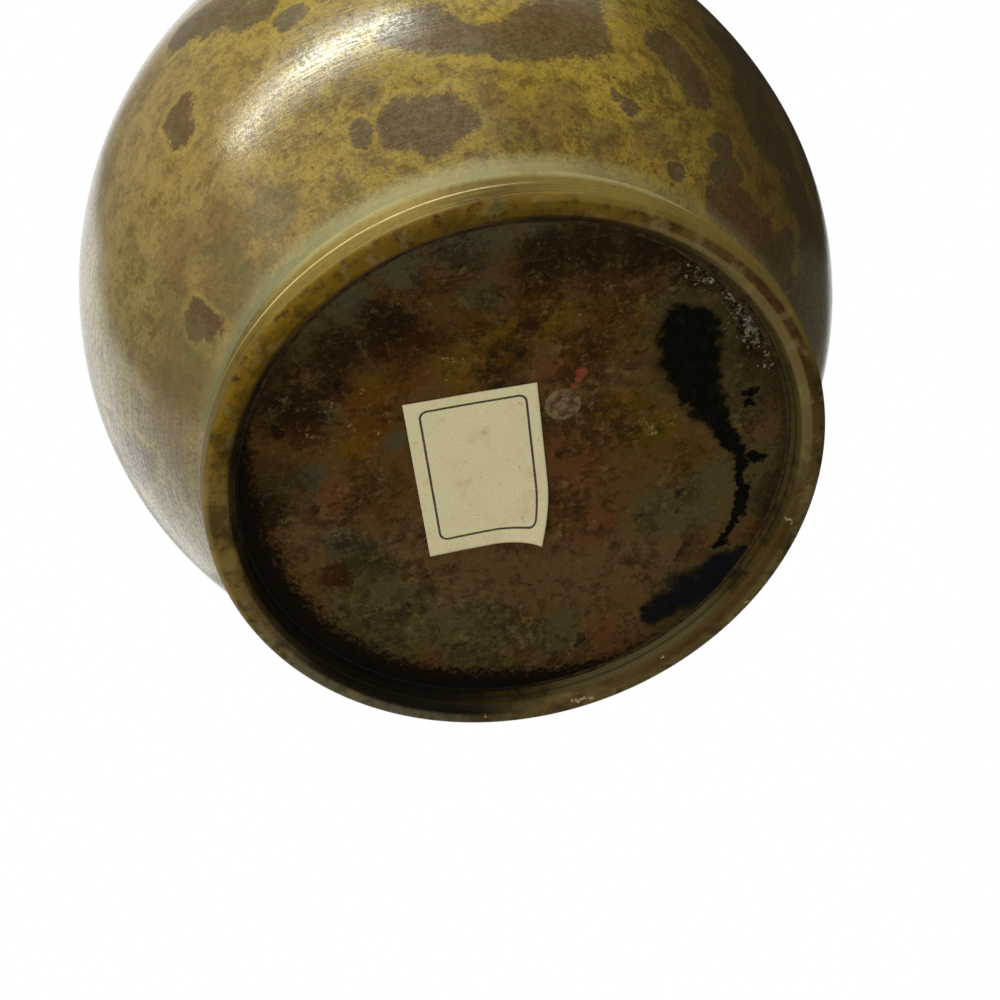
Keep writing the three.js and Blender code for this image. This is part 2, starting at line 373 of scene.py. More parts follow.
def reach_of(vector, spots):
    """The least reach of several spots, each ((x, y, z), radius) in mm, blended where they meet."""
    nearest = None
    for centre, radius in spots:
        at = [c * MM for c in centre]
        placed = place_group(spot_group, Vector=vector, Centre=at, Radius=radius * MM)["Reach"]
        nearest = placed if nearest is None else maths("SMOOTH_MIN", nearest, placed, 0.3)
    return nearest


# The mottle of the patina: fine speckles and coarser islands, thicker in some places than in others.
mottle_group, given, result = new_group(
    "patina_mottle", "INPUT Float Scale", "INPUT Float Density",
    "OUTPUT Float Fine", "OUTPUT Float Coarse", "OUTPUT Float Clumps", "OUTPUT Float Drift",
)
clumps = noise(given["Vector"], times(given["Scale"], 0.13), 4, 0.6)
coarse = noise(given["Vector"], times(given["Scale"], 0.36), 6, 0.72)
fine = noise(given["Vector"], given["Scale"], 5, 0.75)
thicker = maths("ADD", given["Density"], weighted(clumps, 0.5, -0.25))
fill(result, {
    "Fine": ramp(maths("ADD", fine, thicker), 0.5, 0.62),
    "Coarse": ramp(maths("ADD", coarse, thicker), 0.5, 0.6),
    "Clumps": ramp(clumps, 0.42, 0.6),
    "Drift": ramp(noise(given["Vector"], 42, 3, 0.5), 0.38, 0.62),
})

# Turning lines: fine streaks that run round the axis, left by the lathe and the polish.
lines_group, given, result = new_group(
    "turning_lines", "INPUT Float Along Height", "INPUT Float Along Radius", "OUTPUT Float Height"
)
apart = parts_of(given["Vector"])
by_height = times(apart["Z"], given["Along Height"])
by_radius = times(length(sideways(given["Vector"])), given["Along Radius"])
line_height = maths("ADD", by_height, by_radius)
drawn_out = {"X": times(apart["X"], 90), "Y": times(apart["Y"], 90), "Z": line_height}
line_place = put("CombineXYZ", drawn_out).outputs[0]
fill(result, {"Height": noise(line_place, 1, 3, 0.55)})

GOLD = rgb(146, 122, 46)
GOLD_RIGHT = rgb(163, 135, 48)
GOLD_BRIGHT = rgb(178, 154, 66)
LIT_TAN = rgb(150, 125, 74)
LEFT_OLIVE_AND_SHEEN = rgb(124, 115, 76)
SHADED_RIGHT_BROWN = rgb(58, 42, 18)
SMUDGE_BROWN = rgb(112, 80, 40)
OLIVE_BROWN = rgb(112, 92, 42)
SPECKLE_BROWN = rgb(84, 62, 26)
SPECKLE_GREY = rgb(118, 110, 70)
BLOTCH_GREY = rgb(92, 79, 56)
BLOTCH_BROWN = rgb(94, 73, 50)
BLOTCH_RED = rgb(96, 60, 34)
CREAM = rgb(196, 180, 118)
VERDIGRIS = rgb(112, 120, 86)
VERDIGRIS_PALE = rgb(184, 178, 126)

# The blotches on the side towards the window, each as (azimuth in degrees, height, radius).
GLOBE_BLOTCHES = [
    (-86.4, 18.2, 3.5), (-82, 17.2, 4.3), (-78, 17.6, 3.7),
    (-79.5, 32, 5), (-74.5, 29, 4.2), (-69, 28, 3.6), (-63.5, 28.6, 5),
    (-57.5, 31, 6.4), (-56, 37, 5.6),
    (-49.8, 21.8, 1.6), (-47.4, 19.8, 2),
    (-41, 32.5, 2.8), (-38, 29.2, 3.6), (-35, 26.2, 2.8),
    (-27.5, 14.6, 4), (-23, 14, 4.6), (-19.6, 13.6, 2.6), (-29.6, 20.4, 2.4), (-27, 17.6, 2.6),
    (-24, 43, 6), (-23, 35, 5), (-17.5, 29.5, 6), (-10, 26, 5.5),
    (-1, 23, 6), (7, 18, 7),
    (-117.6, 40.6, 3.3), (-118.6, 37.4, 2.7), (-135.4, 15.2, 2.9), (-133.8, 12.9, 2.6),
    (-94, 19, 1.9), (-39.4, 13.4, 1.4),
    (-106.5, 58, 6), (-102.5, 50, 4.2), (-113, 61, 5), (-97, 44, 2.6),
]
# Faint brown clouds on the same side.
GLOBE_CLOUDS = [
    (-71, 17.5, 4.6), (-65, 15.5, 4.2), (-60, 19, 3.6), (-54, 15, 3.2), (-91, 24, 3),
    (-120, 20, 5), (-129, 24, 5), (-128, 13, 5), (-44, 16, 4), (-112, 17, 4),
    (-138, 18, 6.5), (-149, 16, 6.5), (-147, 11, 4.5), (-160, 18, 6), (-172, 20, 6),
    (-118, 40, 5.5), (-135, 20.6, 3), (-126, 15, 3),
]
# Where the blotches turn redder.
RED_BLOTCHES = [(-60, 31, 10), (-20, 15, 8)]


def on_globe(azimuth, height):
    """The point of the globe's outside at an azimuth in degrees and a height."""
    rise = GLOBE_RISE if height > GLOBE_CENTRE else GLOBE_DROP
    radius = globe_radius * sqrt(1 - ((height - GLOBE_CENTRE) / rise) ** 2)
    a = radians(azimuth)
    return radius * cos(a), radius * sin(a), height


def globe_spots(spots):
    return [(on_globe(azimuth, height), radius) for azimuth, height, radius in spots]


def new_metal(name):
    """A new material, its shader, and the place of each point on the piece."""
    made, shader = new_skin(name)
    return made, shader, put("TexCoord", tree=made.node_tree).outputs["Object"]


def patina(name, foot_green=False):
    """The polished, mottled patina. Foot_green adds the verdigris just above the foot."""
    made, shader, where = new_metal(name)
    x, y, z = parts_of(where)
    bent, fray = wandered(where, 0.007, 0.0022)
    bent_x = parts_of(bent)["X"]
    fine, coarse, clumps, drift = place_group(mottle_group, Vector=where, Scale=1900, Density=0.03)
    streaks = place_group(lines_group, Vector=where, Along_Height=4200, Along_Radius=0)["Height"]

    # The ground runs from olive and tan at the left, by way of gold, to a darker gold at the right.
    # A net of brighter gold, brown smudges and fine speckles lie over it, thinner on the tan.
    # On the window side the ground is painted paler and greyer: tan patina with painted light and sheen on
    # it.
    tan_and_lit_side = ramp(bent_x, 0.004, -0.03)
    plenty = ramp(tan_and_lit_side, 0, 1, 1, 0.5)
    net = maths("ABSOLUTE", maths("SUBTRACT", noise(bent, 620, 5, 0.7), 0.5))
    net = times(ramp(net, 0.05, 0.005), plenty)
    dots = put("TexVoronoi", {"Vector": bent, "Scale": 620}).outputs["Distance"]
    dots = times(ramp(dots, 0.46, 0.3), clumps)
    ground = layered(
        GOLD,
        # Tan and olive patina, painted paler on the window side as painted light and sheen.
        (tan_and_lit_side, LIT_TAN),
        (ramp(bent_x, 0.002, 0.024), GOLD_RIGHT),
        (ramp(bent_x, -0.03, -0.048), LEFT_OLIVE_AND_SHEEN, 0.8),
        (net, GOLD_BRIGHT, 0.4),
        (drift, OLIVE_BROWN, 0.15),
        (patchy(bent, 380, 5, 0.65, 0.5, 0.66), SMUDGE_BROWN, 0.45),
        (times(coarse, plenty), OLIVE_BROWN, 0.4),
        (times(times(clumps, coarse), plenty), SPECKLE_BROWN, 0.3),
        (times(patchy(where, 1150, 4, 0.65, 0.56, 0.66), plenty), SPECKLE_BROWN, 0.65),
        (times(fine, plenty), SPECKLE_BROWN, 0.45),
        (times(dots, tan_and_lit_side), BLOTCH_GREY, 0.5),
    )

    # Blotches with a frayed edge and a faint gold outline lie over fainter clouds of the same brown.
    # Smaller satellites lie round them, the far right is brown all over, brown patina with painted shade,
    # and cream flecks come last.
    clouds = weighted(fray, 2.2, reach_of(bent, globe_spots(GLOBE_CLOUDS)))
    wide = weighted(noise(bent, 34, 4, 0.55), -9, 6.1)
    elsewhere = weighted(ramp(y, -0.03, -0.012), -9, maths("ADD", wide, 9))
    reach = maths("MINIMUM", reach_of(bent, globe_spots(GLOBE_BLOTCHES)), elsewhere)
    reach = weighted(fray, 1.1, reach)
    satellites = times(patchy(bent, 330, 6, 0.7, 0.61, 0.66), 0.6)
    blotch = maths("MAXIMUM", ramp(reach, 1.15, 0.85), satellites)
    redden = noise(where, 52, 3, 0.5)
    blotch_tone = layered(
        BLOTCH_GREY,
        (ramp(redden, 0.42, 0.56), BLOTCH_BROWN),
        (ramp(redden, 0.54, 0.66), BLOTCH_RED, 0.3),
        (ramp(reach_of(bent, globe_spots(RED_BLOTCHES)), 1.1, 0.5), BLOTCH_RED, 0.45),
        (coarse, SPECKLE_BROWN, 0.4),
        (net, SPECKLE_GREY, 0.45),
        (fine, SPECKLE_BROWN, 0.5),
    )
    surface = layered(
        ground,
        (ramp(clouds, 1.3, 0.6), BLOTCH_BROWN, 0.42),
        (band(reach, 1.1, 1.2, 0.3), GOLD_BRIGHT, 0.25),
        (blotch, blotch_tone, 0.9),
        # Brown patina and painted shade over the far right.
        (ramp(bent_x, 0.03, 0.049), SHADED_RIGHT_BROWN, 0.8),
        (patchy(where, 1700, 3, 0.6, 0.68, 0.72), CREAM, 0.3),
    )

    # Green corrosion thickens towards the foot. Its pale band is painted paler towards the window, as
    # painted light.
    if foot_green:
        height = weighted(fray, 0.003, z)
        low = times(ramp(height, 0.024, 0.012), tan_and_lit_side)
        lit_near_window = times(ramp(x, 0.036, 0.012, 0.3, 1), ramp(x, -0.034, 0.002, 0.25, 1))
        surface = layered(
            surface,
            (times(low, clumps), SPECKLE_GREY, 0.55),
            (times(ramp(height, 0.0128, 0.0106), lit_near_window), VERDIGRIS_PALE, 0.75),
            (times(band(height, 0.0103, 0.0107, 0.0006), tan_and_lit_side), VERDIGRIS, 0.55),
        )

    # The polish leaves fine lines, and a thin coat of wax is worn through along them.
    wax = weighted(streaks, 0.7, noise(where, 2000, 4, 0.7))
    fill(shader, {
        "Base Color": over(ramp(streaks, 0.5, 0.7), surface, SPECKLE_BROWN, 0.12),
        "Normal": bumped(weighted(noise(where, 3000, 3, 0.6), 0.7, streaks), 0.5, 0.00006),
        "Roughness": ramp(maths("ADD", blotch, streaks), 0.4, 1.6, 0.12, 0.22),
        "Metallic": 0.02,
        "Specular IOR Level": 0.1,
        "Coat Weight": ramp(wax, 0.7, 1, 0.05, 0.82),
        "Coat Roughness": 0.21,
    })
    return made


inner_radius = globe_radius - GLOBE_WALL
inner_drop = GLOBE_DROP - GLOBE_WALL
inner_rise = GLOBE_RISE - GLOBE_WALL
foot_angle = asin((GLOBE_FOOT - GLOBE_CENTRE) / GLOBE_DROP)
foot_angle_inside = asin((GLOBE_FOOT - GLOBE_CENTRE) / inner_drop)
root_angle = acos(NECK_ROOT / globe_radius)
root_height = GLOBE_CENTRE + GLOBE_RISE * sin(root_angle)
globe_profile = (
    oval(globe_radius, GLOBE_DROP, foot_angle, 0, 40)
    + oval(globe_radius, GLOBE_RISE, 0, root_angle, 56)[1:]
    + [(COLLAR, root_height)]
    + oval(inner_radius, inner_rise, acos(COLLAR / inner_radius), 0, 40)
    + oval(inner_radius, inner_drop, 0, foot_angle_inside, 30)[1:]
)
globe = turned("globe_shell_polished", globe_profile)
globe.data.materials.append(patina("globe_patina", foot_green=True))
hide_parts("globe_shell")
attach(globe, "root")


# Neck. A slender tube with a sweep at its root, which carries on the line of the shoulder.
# Its spigot sits inside the globe's collar, where a bead of brazing metal holds it.
NECK_WAIST = 8.5
NECK_TOP = 7.4
NECK_WALL = 2.2
SWEEP_RISE = 25
SPIGOT = 17.7
SPIGOT_DROP = 4
MOUTH_RISE = 9
SWEEP_DRAW = 0.42
WAIST_DRAW = 0.38
BORE_WAIST_DRAW = 0.3
vase_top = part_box("mouth_rim")[1].z / MM


def sweep(a, b, c, d, steps):
    """Points on a cubic curve from a to d, drawn towards b and c."""
    points = []
    for i in range(steps + 1):
        t = i / steps
        weights = ((1 - t) ** 3, 3 * t * (1 - t) ** 2, 3 * t * t * (1 - t), t**3)
        points.append(tuple(sum(w * p[k] for w, p in zip(weights, (a, b, c, d))) for k in (0, 1)))
    return points


slope = (GLOBE_RISE / globe_radius) / tan(root_angle)
draw = NECK_ROOT * SWEEP_DRAW
waist_height = root_height + SWEEP_RISE
neck_top = vase_top - MOUTH_RISE
bore = NECK_TOP - NECK_WALL
neck_outer = sweep(
    (NECK_ROOT, root_height),
    (NECK_ROOT - draw, root_height + draw * slope),
    (NECK_WAIST, root_height + SWEEP_RISE * WAIST_DRAW),
    (NECK_WAIST, waist_height),
    40,
)
tube_rise = neck_top - waist_height
for i in range(1, 13):
    share = i / 12
    neck_outer.append((NECK_WAIST + (NECK_TOP - NECK_WAIST) * share, waist_height + tube_rise * share))
bore_root = SPIGOT - NECK_WALL
neck_inner = [(bore, neck_top)] + sweep(
    (NECK_WAIST - NECK_WALL, waist_height),
    (NECK_WAIST - NECK_WALL, root_height + SWEEP_RISE * BORE_WAIST_DRAW),
    (bore_root, root_height + draw * slope * 0.4),
    (bore_root, root_height - SPIGOT_DROP),
    24,
)
neck_piece = turned(
    "neck_tube_polished",
    neck_outer + neck_inner + [(SPIGOT, root_height - SPIGOT_DROP), (SPIGOT, root_height)],
)
neck_patina = patina("neck_patina")
neck_piece.data.materials.append(neck_patina)
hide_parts("neck_tube")
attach(neck_piece, "root")


# Mouth. A turned ring, brazed to the neck, that flares out to a rounded lip.
MOUTH_WIDE = 13.45
LIP = 1.7
LIP_DRAW = 1.5
lip_height = vase_top - LIP / 2
lip_angles = [-pi / 2 + pi * i / 12 for i in range(13)]
lip_points = [(MOUTH_WIDE - LIP / 2 + LIP / 2 * cos(a), lip_height + LIP / 2 * sin(a)) for a in lip_angles]
mouth_outer = sweep(
    (NECK_TOP, neck_top),
    (NECK_TOP, neck_top + MOUTH_RISE * 0.5),
    (NECK_TOP + LIP_DRAW, lip_points[0][1]),
    lip_points[0],
    20,
)[:-1]
mouth_inner = sweep(
    (MOUTH_WIDE - LIP * 1.2, vase_top),
    (bore + LIP_DRAW, vase_top - LIP * 0.5),
    (bore, neck_top + MOUTH_RISE * 0.5),
    (bore, neck_top),
    20,
)
mouth = turned("mouth_rim_polished", mouth_outer + lip_points + mouth_inner)
mouth.data.materials.append(neck_patina)
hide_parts("mouth_rim")
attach(mouth, "root")


# Foot. A turned bronze ring with a flat bearing rim, a straight side scored by the lathe, worn bare and
# painted bright as a highlight at its upper edge, and a hollowed waist. The base plate is let into it from
# below.
FOOT_RIM = 2.9
FOOT_WORN = 1.1
FOOT_EDGE = 0.2
FOOT_INNER = 0.6
FOOT_SIDE = 4
FOOT_WAIST = 2.7
RECESS = 2.2
PLATE = 2
SEAM = 0.3
DRAFT = 1.8
LEDGE = 2.4
SCORES = (1.35, 1.95, 2.4, 2.95)
SCORE_DEEP = 0.05
STEP_HEIGHT = 1.25
STEP_HALF = 0.04
STEP_OUT = 0.16
STEP_IN = 0.05
foot_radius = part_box("foot_ring")[1].x / MM
foot_top_radius = globe_radius * cos(foot_angle)
rim_inside = foot_radius - FOOT_RIM
pocket = rim_inside - DRAFT
seat = RECESS + PLATE + SEAM
worn_angles = [pi / 2 * i / 8 for i in range(9)]
foot_edge = [(foot_radius - FOOT_WORN * (1 - sin(a)), FOOT_WORN * (1 - cos(a))) for a in worn_angles]
scored_side = [
    (foot_radius - inward * SCORE_DEEP, height + step * SCORE_DEEP)
    for height in SCORES
    for inward, step in ((0, -1), (1, 0), (0, 1))
]
waist_rise = GLOBE_FOOT - FOOT_SIDE
foot_waist = sweep(
    (foot_radius - FOOT_EDGE / 2, FOOT_SIDE),
    (foot_radius - FOOT_WAIST, FOOT_SIDE + waist_rise / 4),
    (foot_radius - FOOT_WAIST, GLOBE_FOOT - waist_rise / 3),
    (foot_top_radius, GLOBE_FOOT),
    28,
)
# The inner wall leans in to the plate, with one step where the tool stopped.
wall_slope = (rim_inside - FOOT_INNER - pocket) / (RECESS - FOOT_INNER)
step_radius = rim_inside - FOOT_INNER - wall_slope * (STEP_HEIGHT - FOOT_INNER)
foot_inner = [
    (pocket, RECESS),
    (step_radius - STEP_OUT, STEP_HEIGHT + STEP_HALF),
    (step_radius + STEP_IN, STEP_HEIGHT - STEP_HALF),
    (rim_inside - FOOT_INNER, FOOT_INNER),
    (rim_inside - FOOT_INNER * 0.55, FOOT_INNER * 0.3),
    (rim_inside - FOOT_INNER * 0.2, FOOT_INNER * 0.07),
]
foot_profile = (
    [(rim_inside + 0.1, 0)]
    + foot_edge
    + scored_side
    + [(foot_radius, FOOT_SIDE - FOOT_EDGE / 2)]
    + foot_waist
    + [(foot_top_radius - GLOBE_WALL, GLOBE_FOOT), (pocket - LEDGE, seat), (pocket, seat)]
    + foot_inner
)
foot = turned("foot_ring_turned", foot_profile)


def outward_of(where):
    """The direction in which a point lies from the vase's axis."""
    return vectors("NORMALIZE", sideways(where))


def towards(outward, angle):
    """How far a direction from the axis turns towards an angle in radians, from -1 to 1."""
    return vectors("DOT_PRODUCT", outward, (cos(angle), sin(angle), 0), out="Value")


# Small bare nicks in the rim, each as (x, y, radius).
RIM_NICKS = (
    (32.8, 24.6, 0.4), (32.3, 24.2, 0.5), (31.8, 23.8, 0.4), (22.6, 35.6, 0.3), (28.6, 31.2, 0.2),
    (-2.8, 41.2, 0.4), (-3.7, 41, 0.5), (-4.7, 40.9, 0.5), (-5.7, 40.6, 0.35), (-17.6, 37.7, 0.22),
    (8.6, 39.2, 0.3),
)
RIM_YELLOW = rgb(106, 80, 14)
RIM_BRIGHT = rgb(126, 98, 14)
RIM_OLIVE = rgb(80, 65, 32)
RIM_GREY = rgb(98, 92, 72)
RIM_BROWN = rgb(68, 48, 12)
RIM_SPOT = rgb(46, 31, 8)
RIM_BARE = rgb(132, 114, 68)
RIM_TAN = rgb(120, 100, 52)
SIDE_GOLD = rgb(116, 95, 34)
SIDE_LIGHT = rgb(150, 127, 60)
SIDE_SHADE = rgb(92, 78, 36)
SIDE_SCORE = rgb(74, 55, 16)
WAIST_TAN = rgb(106, 84, 38)
BARE_METAL_AND_HIGHLIGHT = rgb(232, 216, 160)
WALL_OLIVE = rgb(74, 58, 22)
WALL_PALE = rgb(94, 84, 50)
WALL_WARM = rgb(108, 82, 44)
WALL_DARK = rgb(18, 12, 4)
foot_bronze, shader, where = new_metal("foot_patina")
height = parts_of(where)["Z"]
radius = length(sideways(where))
outward = outward_of(where)
bent, fray = wandered(where, 0.001, 0.003)
mottle = place_group(mottle_group, Vector=where, Scale=760, Density=0)
streaks = place_group(lines_group, Vector=where, Along_Height=3600, Along_Radius=3200)["Height"]
patches = patchy(where, 120, 5, 0.65, 0.5, 0.62)
spots = patchy(where, 300, 4, 0.6, 0.52, 0.64)


def stains_light_and_shade(mask, *places):
    """Layers over parts of the ring, each from (azimuth, half spread in degrees, colour, share)."""
    layers = []
    for azimuth, spread, stain, share in places:
        start, full = (cos(radians(spread * part)) for part in (1, 0.4))
        near = ramp(towards(outward, radians(azimuth)), start, full)
        layers.append((times(near, mask), stain, share))
    return layers


# The side and the waist: tan gold with darker scores, an upper edge worn bare and painted with a highlight,
# and green under the globe.
low_side = ramp(height, 2.8 * MM, 1.8 * MM)
green = ramp(height, 8.9 * MM, 10.1 * MM)
# The upper edge: wear and a painted highlight, strongest facing the window.
worn_and_highlit_edge = ramp(maths("ADD", streaks, fray), 0.3, 0.6, 0.5, 1)
worn_and_highlit_edge = times(band(height, 3.62 * MM, 4 * MM, 0.0001), worn_and_highlit_edge)
waist_tone = over(ramp(streaks, 0.35, 0.6), WAIST_TAN, SIDE_GOLD, 0.5)
waist_tone = over(mottle["Coarse"], waist_tone, OLIVE_BROWN, 0.25)
side_tone = layered(
    SIDE_GOLD,
    (ramp(streaks, 0.38, 0.56), SIDE_SCORE, 0.75),
    (patches, SIDE_SCORE, 0.6),
    (times(spots, low_side), SIDE_SCORE, 0.65),
    (ramp(height, 4 * MM, 4.4 * MM), waist_tone),
    # Painted light on the side facing the window, a paler patch further round, and painted shade on the
    # left.
    *stains_light_and_shade(1, (-104, 26, SIDE_LIGHT, 0.45), (-34, 42, SIDE_LIGHT, 0.5), (-162, 36, SIDE_SHADE, 0.75)),
    *stains_light_and_shade(green, (-72, 62, VERDIGRIS_PALE, 0.6), (-150, 40, VERDIGRIS, 0.2)),
    (mottle["Fine"], SPECKLE_BROWN, 0.25),
    # Painted highlight along the upper edge, with wear.
    *stains_light_and_shade(worn_and_highlit_edge, (-100, 36, BARE_METAL_AND_HIGHLIGHT, 0.62), (-145, 26, SIDE_LIGHT, 0.6)),
)

# The rim: yellow olive towards the window and greyer away from it, with dark spots and small bare nicks,
# and painted shade along its inner side by the recess.
outer_share = ramp(radius, 41.4 * MM, 42.4 * MM, 0.4, 1)
outer_edge = ramp(radius, 42.1 * MM, 42.7 * MM)
inner_edge = band(radius, (rim_inside - 0.6) * MM, (rim_inside + 0.7) * MM, 0.0003)
near_wall = ramp(radius, 41.6 * MM, 40.8 * MM)
lip = ramp(radius, (rim_inside + 0.3) * MM, (rim_inside - 0.1) * MM)
nicks = reach_of(bent, [((x, y, 0), nick_radius) for x, y, nick_radius in RIM_NICKS])
rim_tone = layered(
    RIM_OLIVE,
    (ramp(towards(outward, radians(-125)), -0.2, 0.45), RIM_YELLOW),
    *stains_light_and_shade(
        1, (-140, 42, RIM_BRIGHT, 0.55), (148, 36, RIM_GREY, 0.8), (-174, 28, RIM_TAN, 0.7),
        (-8, 30, RIM_BROWN, 0.45), (72, 52, RIM_BARE, 0.3),
    ),
    (patches, RIM_SPOT, 0.65),
    (times(spots, outer_share), RIM_SPOT, 0.8),
    (mottle["Coarse"], RIM_SPOT, 0.4),
    (patchy(where, 260, 4, 0.6, 0.54, 0.66), RIM_BARE, 0.45),
    *stains_light_and_shade(outer_edge, (-34, 42, SIDE_LIGHT, 0.45), (-172, 26, SIDE_LIGHT, 0.3)),
    *stains_light_and_shade(inner_edge, (-12, 46, RIM_BARE, 0.5)),
    # Painted shade along the inner side of the rim by the recess, black on the lower left, with some brown.
    *stains_light_and_shade(
        near_wall, (-138, 24, RIM_SPOT, 0.3), (-75, 26, RIM_SPOT, 0.3), (58, 38, RIM_BROWN, 0.7),
        (135, 32, WALL_DARK, 0.95), (165, 16, RIM_SPOT, 0.45),
    ),
    # More painted shade at the inner lip, black on the lower left.
    *stains_light_and_shade(
        lip, (-52, 30, RIM_SPOT, 0.85), (-132, 28, RIM_SPOT, 0.4), (70, 34, RIM_BROWN, 0.5),
        (155, 34, WALL_DARK, 0.7),
    ),
    (ramp(weighted(fray, 2.5, nicks), 1.1, 0.5), BARE_METAL_AND_HIGHLIGHT, 0.42),
)

# The inner wall: olive, paler to the right, and black with deposit and painted shade on the lower left.
tool_line = band(height, (STEP_HEIGHT - 0.05) * MM, (STEP_HEIGHT + 0.08) * MM, 0.0001)
wall_tone = layered(
    WALL_OLIVE,
    (patchy(where, 300, 5, 0.7, 0.45, 0.62), WALL_DARK, 0.5),
    (patchy(where, 150, 5, 0.7, 0.5, 0.62), WALL_DARK, 0.5),
    # The black on the lower left is deposit and painted shade.
    *stains_light_and_shade(
        1, (0, 45, WALL_PALE, 0.12), (80, 26, WALL_PALE, 0.85), (-98, 32, WALL_WARM, 0.95),
        (-50, 24, WALL_DARK, 0.45), (-140, 18, WALL_DARK, 0.5), (150, 52, WALL_DARK, 0.97),
    ),
    (tool_line, WALL_DARK, 0.5),
)
on_rim = ramp(weighted(fray, 0.0005, height), MM, 0.3 * MM)
in_wall = ramp(radius, (rim_inside - 0.35) * MM, (rim_inside - 0.75) * MM)
dullness = maths("ADD", maths("MAXIMUM", green, in_wall), streaks)
fill(shader, {
    "Base Color": layered(side_tone, (on_rim, rim_tone), (in_wall, wall_tone)),
    "Normal": bumped(weighted(mottle["Coarse"], -0.25, streaks), 0.5, 0.0001),
    "Roughness": ramp(dullness, 0.3, 1.5, 0.45, 0.7),
    "Metallic": 0.12,
    "Specular IOR Level": 0.08,
})
foot.data.materials.append(foot_bronze)
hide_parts("foot_ring")
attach(foot, "root")


# Base plate. A thin cast disc, never polished: a dark brown skin with ochre, red and grey green
# stains from the heat of the soldering, and black blotches of old sealing pitch.
PLATE_SEGMENTS = 288
PLATE_RINGS = 110
PLATE_WAVE = 0.09
WAVE_SCALE = 0.16
PLATE_PITS = 0.035
PIT_SCALE = 1.1
PLATE_GAP = 0.02
CRESCENT_SIDE = 2.62
plate_edge = pocket - PLATE_GAP


def plate_face(x, y):
    """The height of the plate's face at a point: a little wavy and pitted, but flat at its edge."""
    wave = PLATE_WAVE * mathutils.noise.noise((x * WAVE_SCALE, y * WAVE_SCALE, 2.7))
    pits = PLATE_PITS * mathutils.noise.noise((x * PIT_SCALE, y * PIT_SCALE, 8.1))
    inside = min(1, (plate_edge - hypot(x, y)) / 2)
    return RECESS + (wave + pits) * inside


plate_vertices = [(0, 0, plate_face(0, 0))]
plate_faces = []
for ring in range(1, PLATE_RINGS + 1):
    reach = plate_edge * ring / PLATE_RINGS
    for a in round_steps(PLATE_SEGMENTS):
        x, y = reach * cos(a), reach * sin(a)
        plate_vertices.append((x, y, plate_face(x, y)))
for a in round_steps(PLATE_SEGMENTS):
    plate_vertices.append((plate_edge * cos(a), plate_edge * sin(a), RECESS + PLATE))
for i in range(PLATE_SEGMENTS):
    j = (i + 1) % PLATE_SEGMENTS
    plate_faces.append((0, 1 + j, 1 + i))
    for ring in range(PLATE_RINGS):
        near, far = 1 + ring * PLATE_SEGMENTS, 1 + (ring + 1) * PLATE_SEGMENTS
        plate_faces.append((near + i, near + j, far + j, far + i))
back = 1 + PLATE_RINGS * PLATE_SEGMENTS
plate_faces.append(tuple(back + i for i in range(PLATE_SEGMENTS)))
plate = new_piece("base_plate_cast", plate_vertices, plate_faces)

PLATE_BROWN = rgb(80, 54, 22)
PLATE_DARK = rgb(32, 21, 7)
PLATE_LIGHT = rgb(112, 92, 52)
PITCH = rgb(7, 9, 7)
SOOT_AND_SHADE = rgb(15, 10, 4)
PITCH_BLUE = rgb(15, 16, 20)
MARK_RED = rgb(124, 62, 46)
GREEN_GREY = rgb(70, 62, 34)
TEAL_DARK = rgb(66, 62, 43)
DARK_OLIVE = rgb(44, 36, 15)
OLIVE_GOLD = rgb(70, 54, 9)
OCHRE = rgb(88, 62, 6)
ORANGE_BROWN = rgb(78, 46, 6)
DEEP_BROWN = rgb(60, 34, 3)
DARK_RED = rgb(46, 20, 6)
RED_BROWN = rgb(88, 51, 26)
PURPLE_BROWN = rgb(86, 64, 38)
